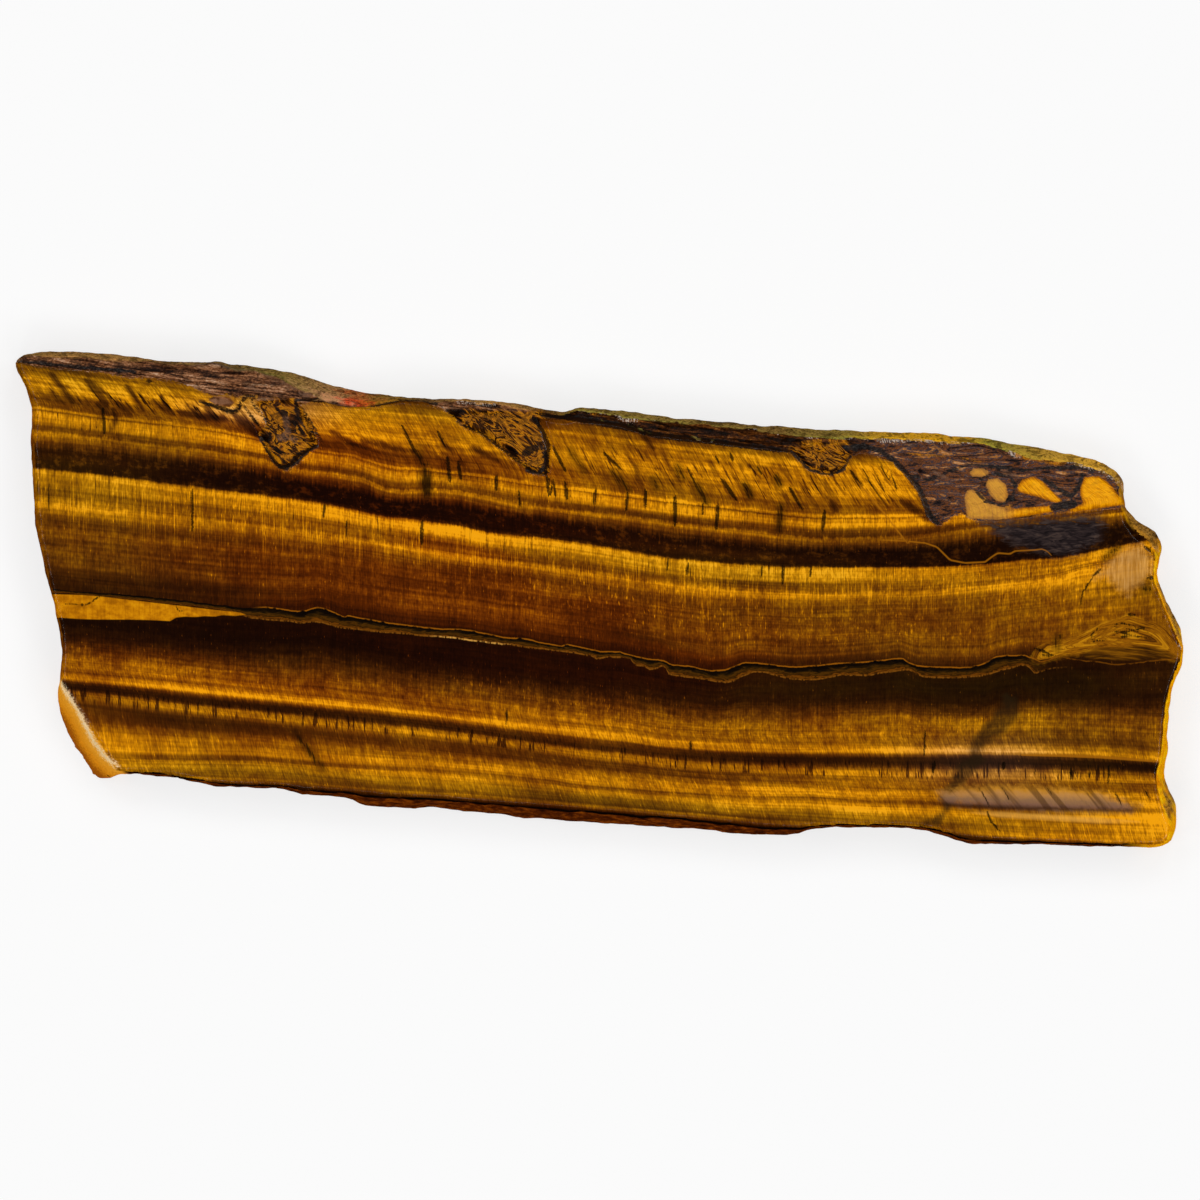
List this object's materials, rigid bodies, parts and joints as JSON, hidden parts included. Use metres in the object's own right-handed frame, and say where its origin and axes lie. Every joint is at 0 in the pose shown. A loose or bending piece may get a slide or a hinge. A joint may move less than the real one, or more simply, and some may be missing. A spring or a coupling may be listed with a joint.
{
  "type": "tigers eye slab",
  "caption": "Slab of banded golden-brown tiger's eye stone, polished on its face and sawn flat on its back, with a rough dark crust along one long edge and natural broken sides.",
  "frame": {"origin": "centre of the slab's bounding rectangle, on the plane of its sawn back", "axes": "+X along the slab's long side, towards the notched end; +Y across the bands, towards the crusted edge; +Z out of the polished face"},
  "size_m": [0.2402, 0.0864, 0.012],
  "materials": {
    "tigers_eye": "banded golden-brown stone with a glossy polished face, a dull sawn back, rough dark crust and broken sides"
  },
  "bodies": {
    "root": {"tigers_eye_slab": "tigers_eye"}
  },
  "joints": []
}
